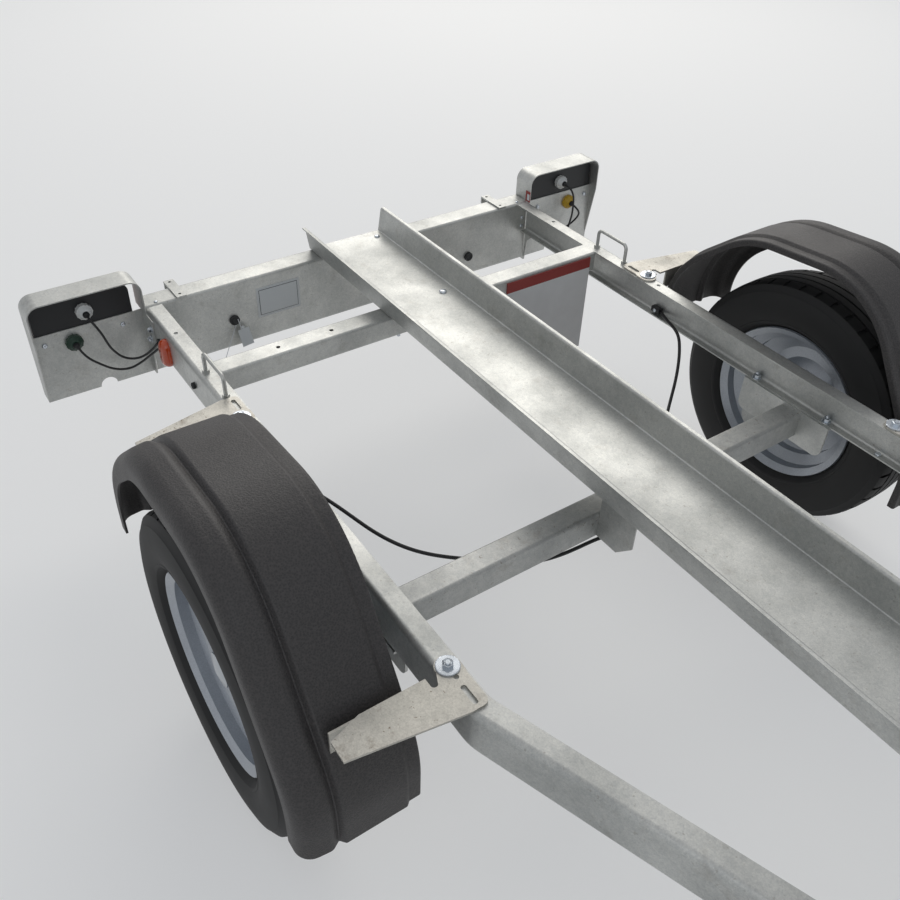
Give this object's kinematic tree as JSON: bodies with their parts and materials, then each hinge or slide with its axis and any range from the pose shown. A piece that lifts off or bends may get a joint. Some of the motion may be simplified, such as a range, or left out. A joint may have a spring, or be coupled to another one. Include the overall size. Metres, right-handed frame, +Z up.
{
  "type": "motorcycle trailer",
  "caption": "Galvanised motorcycle trailer with one wheel channel, black mudguards, boxed rear lamps, a ball coupling and a crank jockey wheel.",
  "frame": {"origin": "on the ground under the middle of the trailer's length and width", "axes": "+X forwards along the trailer to the coupling, +Y to its left side, +Z up"},
  "size_m": [2.7026, 1.524, 0.9072],
  "materials": {
    "amber_lens": "glossy",
    "axle_steel": "dull zinc",
    "black_plastic": "matt",
    "cable_rubber": "matt",
    "galvanised_steel": "spangled matt zinc",
    "grey_rubber": "matt",
    "hub_steel": "satin",
    "lamp_lens": "glossy",
    "sign_paint": "satin",
    "tyre": "matt",
    "wheel_steel": "satin",
    "zinc_steel": "satin"
  },
  "bodies": {
    "chassis": {"axle_beam": "axle_steel", "axle_plate": "galvanised_steel", "cable_clip": "black_plastic", "cable_gland": "black_plastic", "cable_grommet": "black_plastic", "channel_support": "galvanised_steel", "coupling": "zinc_steel", "drawbar_gusset": "galvanised_steel", "drawbar_plate": "galvanised_steel", "frame_cable_left": "cable_rubber", "frame_cable_right": "cable_rubber", "front_beam": "galvanised_steel", "jockey_tube": "zinc_steel", "lamp_bracket_left": "galvanised_steel", "lamp_bracket_right": "galvanised_steel", "lamp_housing": "black_plastic", "lamp_lens": "lamp_lens", "lower_lamp_cable_left": "cable_rubber", "lower_lamp_cable_right": "cable_rubber", "mudguard_arm_front": "galvanised_steel", "mudguard_arm_rear": "galvanised_steel", "mudguard_left": "black_plastic", "mudguard_right": "black_plastic", "rear_beam": "galvanised_steel", "rear_strap": "galvanised_steel", "second_beam": "galvanised_steel", "side_marker": "amber_lens", "side_rail_left": "galvanised_steel", "side_rail_right": "galvanised_steel", "sign_board": "sign_paint", "swing_arm": "axle_steel", "tie_loop": "galvanised_steel", "upper_lamp_cable_left": "cable_rubber", "upper_lamp_cable_right": "cable_rubber", "wheel_channel": "galvanised_steel", "wheel_hoop": "galvanised_steel"},
    "coupling_lever": {"coupling_lever": "zinc_steel"},
    "wheel_left": {"hub_left": "hub_steel", "rim_left": "wheel_steel", "tyre_left": "tyre"},
    "wheel_right": {"hub_right": "hub_steel", "rim_right": "wheel_steel", "tyre_right": "tyre"},
    "jockey_crank": {"jockey_crank": "zinc_steel"},
    "jockey_fork": {"jockey_fork": "zinc_steel"},
    "jockey_leg": {"jockey_leg": "zinc_steel"},
    "jockey_wheel": {"jockey_wheel": "grey_rubber"}
  },
  "joints": [
    {"name": "wheel_left_spin", "type": "hinge", "parent": "chassis", "child": "wheel_left", "pos_m": [-0.45132, 0.6865, 0.281], "axis": [0, 1, 0], "continuous": true},
    {"name": "wheel_right_spin", "type": "hinge", "parent": "chassis", "child": "wheel_right", "pos_m": [-0.45132, -0.6865, 0.281], "axis": [0, 1, 0], "continuous": true},
    {"name": "coupling_lever_lift", "type": "hinge", "parent": "chassis", "child": "coupling_lever", "pos_m": [1.23632, 0, 0.4584], "axis": [0, 1, 0], "range_deg": [0, 50]},
    {"name": "jockey_leg_slide", "type": "slide", "parent": "chassis", "child": "jockey_leg", "axis": [0, 0, 1], "range_m": [0, 0.14]},
    {"name": "jockey_crank_turn", "type": "hinge", "parent": "chassis", "child": "jockey_crank", "pos_m": [0.93132, 0, 0.79], "axis": [0, 0, 1], "range_deg": [0, 8400]},
    {"name": "jockey_fork_swivel", "type": "hinge", "parent": "jockey_leg", "child": "jockey_fork", "pos_m": [0.93132, 0, 0.236], "axis": [0, 0, 1], "continuous": true},
    {"name": "jockey_wheel_spin", "type": "hinge", "parent": "jockey_fork", "child": "jockey_wheel", "pos_m": [0.88632, 0, 0.1], "axis": [0, 1, 0], "continuous": true}
  ],
  "couplings": [
    {"joint": "jockey_crank_turn", "follows": "jockey_leg_slide", "rad_per_m": 1047.2}
  ]
}
